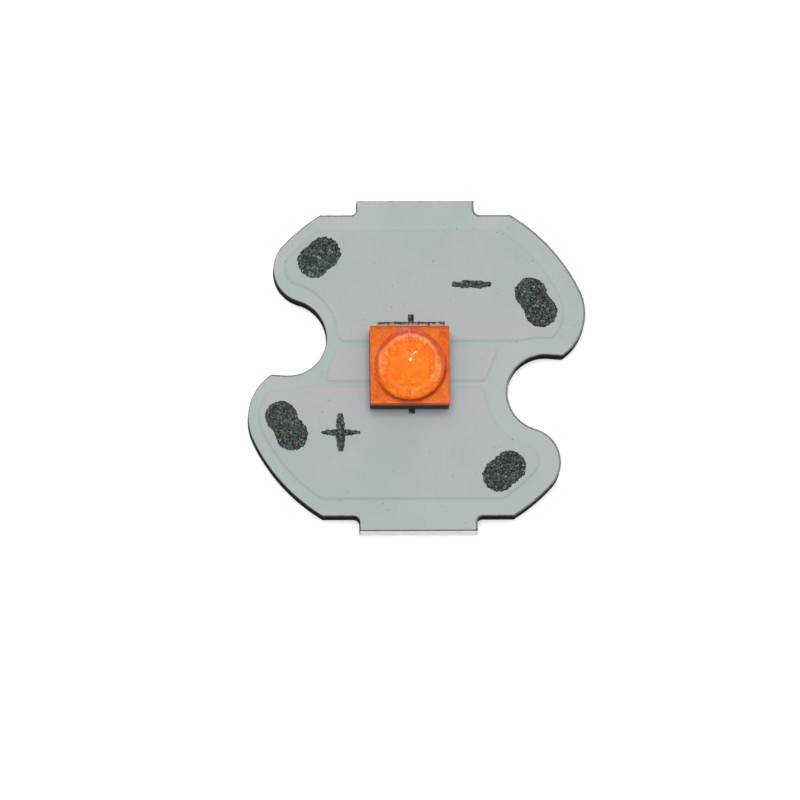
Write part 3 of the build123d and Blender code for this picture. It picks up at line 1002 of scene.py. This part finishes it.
# height above the block's foot and inset of each ring
ceramic_profile = [
    (0.0, 0.03), (0.012, 0.012), (0.04, 0.003), (0.2, 0.0),
    (0.4, 0.002), (0.55, 0.0), (0.72, 0.003), (0.75, 0.01),
]
stretch = (coat_bottom - ceramic_low[2]) / ceramic_profile[-1][0]
rings = []
for height, inset in ceramic_profile:
    ring = rounded_square(emitter_half - inset - 0.004, 0.03)
    ring = moved_out(ring, -np.abs(0.004 * ripple(ring, 0.15, 71.0 + height * 9)))
    rings.append(at_level(ring, ceramic_low[2] + height * stretch))
shape = stacked(rings)
as_piece("ceramic_body", shape, ceramic_finish(), ["ceramic_substrate"], sharp=30)

# %% [markdown]
# ## Phosphor coat
# Orange phosphor powder in silicone is sprayed over the whole top, chip and all. It follows the
# chip as a soft raised square. The powder is coarse enough to see as yellow and red grains, and it
# is darker where the protection diode sits under it. The finish also holds painted light: the coat
# outside the dome is painted lighter, a ring under the dome and a crescent round its foot carry
# painted shadow, the sides carry painted shade, and a weak painted glow in its own colour stands
# for the powder's faint fluorescence and for light the lamps don't give.

# %% Finish of the phosphor
DIODE_HALF = 0.125
diode_middle = sum(span("protection_diode"))[:2] / 2


def phosphor_finish():
    f = Finish("orange_phosphor")
    x, y, z = f.axes(f.place)
    grains = f.noise(0.05, 4.0, 0.7)
    clouds = f.noise(0.45, 3.0, 0.6)
    picks = f.axes(f.cells(0.07, output=1))
    # Painted shade: the sides of the coat are painted dark brown.
    side = 1 - z.step(coat_bottom + 0.05, coat_top - 0.02)
    east, north = x - emitter_centre[0], y - emitter_centre[1]
    from_axis = (east * east + north * north).root()
    from_die = abs(x - die_middle[0]).max(abs(y - die_middle[1])) - die_half
    beside_die = from_die.step(0.0, 0.06) * (1 - from_die.step(0.2, 0.45))
    on_die = 1 - from_die.step(-0.05, 0.05)
    open_coat = from_axis.step(DOME_RADIUS - 0.15, DOME_RADIUS + 0.1)
    cloudy = clouds.step(0.3, 0.7)
    # Painted light: the coat outside the dome is painted lighter than under it, making up for the
    # light the dome gathers onto the coat inside.
    under_dome = f.mix(cloudy, (255, 112, 14), (255, 128, 20))
    outside = f.mix(cloudy, (255, 112, 36), (255, 136, 52))
    speckle = f.noise(0.1, 3.0, 0.6)
    yellow = (picks[0] > 0.86) * (0.3 + beside_die * 0.3 - on_die * 0.15)
    die_rim = 1 - abs(from_die - 0.02 + (speckle - 0.5) * 0.3).step(0.0, 0.06)
    # A painted shadow: a darker red ring under the dome where the lens bends the light away, seen
    # through the dome near its rim.
    dome_shadow_ring = from_axis.step(0.84, 0.92) * (1 - open_coat) * north.step(-1.0, 0.3)
    # A painted shadow: a dark red crescent round the dome's foot, heaviest at the front and on the
    # right.
    foot = from_axis.step(DOME_RADIUS - 0.08, DOME_RADIUS)
    foot = foot * (1 - from_axis.step(DOME_RADIUS + 0.02, DOME_RADIUS + 0.2))
    from_diode = abs(x - diode_middle[0]).max(abs(y - diode_middle[1]))
    colour = f.layers(
        f.mix(open_coat, under_dome, outside),
        (grains.step(0.45, 0.7) * 0.7 * (1 - on_die * 0.7), (244, 84, 12)),
        (yellow, (255, 184, 90)),
        ((picks[1] > 0.9) * (0.5 - on_die * 0.3), (206, 62, 8)),
        (beside_die * speckle.step(0.45, 0.62) * 0.55, (255, 166, 54)),
        (die_rim * clouds.step(0.4, 0.6) * 0.6, (226, 80, 6)),
        (dome_shadow_ring * 0.8, (206, 56, 6)),
        (foot * (east * 0.45 - north).step(-0.9, 1.5) * 0.9, (160, 34, 2)),
        ((1 - from_diode.step(0.1, 0.26)) * 0.35, (170, 50, 8)),
        (side * 0.9, (60, 26, 14)),
    )
    # A weak painted glow in the coat's own colour.
    return f.surface(colour, 0.6, 0.0, f.bump(grains, 0.01), Specular_IOR_Level=0.03,
                     Emission_Color=colour, Emission_Strength=0.14)


# %% Shape of the phosphor
def coat_height(points):
    """Height of the coat: level, lifted over the die and a little over the diode."""
    from_die = np.abs(points - die_middle).max(axis=1) - die_half
    lift = (coat_over_die - coat_top) * (1 - smooth_step(from_die, 0.0, 0.2))
    from_diode = np.abs(points - diode_middle).max(axis=1) - DIODE_HALF
    lift += 0.03 * (1 - smooth_step(from_diode, 0.0, 0.1))
    rough = 0.005 * ripple(points, 0.09, 81.0) + 0.004 * ripple(points, 0.3, 82.0)
    return np.minimum(coat_top + lift + rough, coat_over_die)


edge = rounded_square(emitter_half - 0.003, 0.02, per_side=90)
edge = moved_out(edge, -np.abs(0.006 * ripple(edge, 0.12, 83.0)))
points, triangles = filled(edge, 0.035, 0.15, 84, 0.015)
shape = film(points, triangles, coat_height(points), coat_bottom)
as_piece("phosphor_skin", shape, phosphor_finish(), ["phosphor_coat"], sharp=50)

# %% [markdown]
# ## Silicone lens
# A clear silicone dome is moulded in one piece with a thin square plate under it. Both are one
# closed body of stacked rings: up the square wall, in across the plate while the square turns into
# a circle, and up over the dome. Its foot dips into the coat, because the two touch with no air
# between them, and a gap would act as a mirror.

# %% Finish of the lens
LENS_INDEX = 1.41


def silicone_finish():
    f = Finish("clear_silicone")
    z = f.axes(f.place)[2]
    slope = abs(f.facing()[2])
    sawn = (1 - slope.step(0.2, 0.5)) * (1 - z.step(plate_top - 0.02, plate_top - 0.005))
    fine = f.noise(0.2, 2.0)
    bevel = (1 - slope.step(0.9, 0.99)) * z.step(plate_top - 0.03, plate_top - 0.015)
    bevel = bevel * (1 - z.step(plate_top + 0.002, plate_top + 0.01))
    # Painted shade and highlight: the sawn walls are tinted dark brown as painted shade, and the
    # bevel along the plate's top is tinted pale orange to colour its highlight.
    tint = f.layers(WHITE, (sawn, (104, 52, 24)), (bevel, (255, 200, 160)))
    polished = z.step(lens_top - 0.6, lens_top - 0.35)
    return f.surface(tint, 0.03 + sawn * 0.3 + bevel * 0.5 + fine * 0.02, 0.0, f.bump(fine, 0.0006),
                     Transmission_Weight=1.0, IOR=LENS_INDEX, Coat_IOR=LENS_INDEX,
                     # The orange specular tint is a painted reflection colour: it warms what the
                     # clear silicone reflects.
                     Specular_Tint=(1.0, 0.62, 0.42, 1.0),
                     Coat_Weight=polished, Coat_Roughness=0.11)


# %% Shape of the lens
PER_SIDE, DOME_RINGS = 64, 80
angles = np.linspace(-45, 315, 4 * PER_SIDE, endpoint=False)
circle = np.array([unit(angle) for angle in angles])
# level and inset of each ring up the square wall
lens_profile = [
    (coat_top - 0.03, 0.0), (coat_top + 0.1, 0.0), (plate_top - 0.025, 0.0),
    (plate_top - 0.012, 0.004), (plate_top - 0.004, 0.012), (plate_top, 0.025),
]
rings = []
for level, inset in lens_profile:
    square = rounded_square(emitter_half - 0.002 - inset, 0.03, PER_SIDE)
    rings.append(at_level(square, level))
foot = emitter_centre + circle * DOME_RADIUS
for part in (0.2, 0.4, 0.6, 0.8, 0.92, 1.0):
    rings.append(at_level(square + (foot - square) * part, plate_top))
for angle in np.radians(np.linspace(0, 89.3, DOME_RINGS)):
    ring = emitter_centre + circle * DOME_RADIUS * math.cos(angle)
    rings.append(at_level(ring, plate_top + DOME_RIM + DOME_RADIUS * math.sin(angle)))
shape = stacked(rings)
as_piece("silicone_lens", shape, silicone_finish(), ["dome_lens"], sharp=12)

# %% [markdown]
# ## What lies inside
# Foil, plated metal, the plugs through the ceramic, the chip and its wires keep their CAD shapes.
# They are covered in the finished part, yet anyone who opens the model should find them finished
# too.

# %% Finishes for the CAD pieces
def metal_finish(name, first, second, roughness, grain):
    f = Finish(name)
    clouds = f.noise(grain, 4.0, 0.6)
    colour = f.mix(clouds.step(0.35, 0.65), first, second)
    return f.surface(colour, roughness + clouds * 0.15, 1.0, f.bump(clouds, 0.002))


def chip_finish(name, first, second):
    f = Finish(name)
    clouds = f.noise(0.1, 3.0)
    colour, relief = f.mix(clouds, first, second), f.bump(clouds, 0.001)
    return f.surface(colour, 0.4 + clouds * 0.1, 0.0, relief, Specular_IOR_Level=0.05)


copper = metal_finish("etched_copper", (186, 112, 84), (214, 142, 110), 0.35, 0.2)
gold = metal_finish("plated_gold", (206, 168, 92), (230, 196, 120), 0.25, 0.15)
attach = metal_finish("die_solder", (120, 120, 122), (160, 160, 162), 0.4, 0.08)
die_chip = chip_finish("grey_chip", (70, 70, 84), (98, 98, 110))
diode_chip = chip_finish("diode_chip", (60, 58, 60), (84, 82, 84))


def wire_finish(node):
    """Coated like everything round it, dark where the wire is welded down, with a weak painted
    glow.
    """
    f = Finish("coated_" + node)
    y = f.axes(f.place)[1]
    low, high = span(node)
    weld = 1 - abs(abs(y - (low[1] + high[1]) / 2) - (high[1] - low[1]) / 2).step(0.05, 0.11)
    powder = f.noise(0.05, 3.0)
    away = abs(y - die_middle[1]).step(0.62, 0.72)
    colour = f.layers((255, 112, 16), (powder, (255, 130, 26)), (away, (248, 108, 22)),
                      (weld * 0.8, (120, 36, 6)))
    # A weak painted glow in the wire's own colour lightens it.
    return f.surface(colour, 0.6, 0.0, f.bump(powder, 0.001), Specular_IOR_Level=0.05,
                     Emission_Color=colour, Emission_Strength=0.25)


# %% Give each CAD piece its finish
covered = [
    (copper, "cathode_copper thermal_copper anode_copper cathode_vias anode_vias"),
    (gold, "cathode_land thermal_land anode_land cathode_top_metal anode_top_metal die_pad"),
    (attach, "die_attach"), (die_chip, "led_die"), (diode_chip, "protection_diode"),
]
wires = ("cathode_bond_wire", "anode_bond_wire", "diode_bond_wire")
covered += [(wire_finish(node), node) for node in wires]
for finish, nodes in covered:
    for node in nodes.split():
        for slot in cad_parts[node].material_slots:
            slot.material = finish
print("finishes inside:", len(covered))
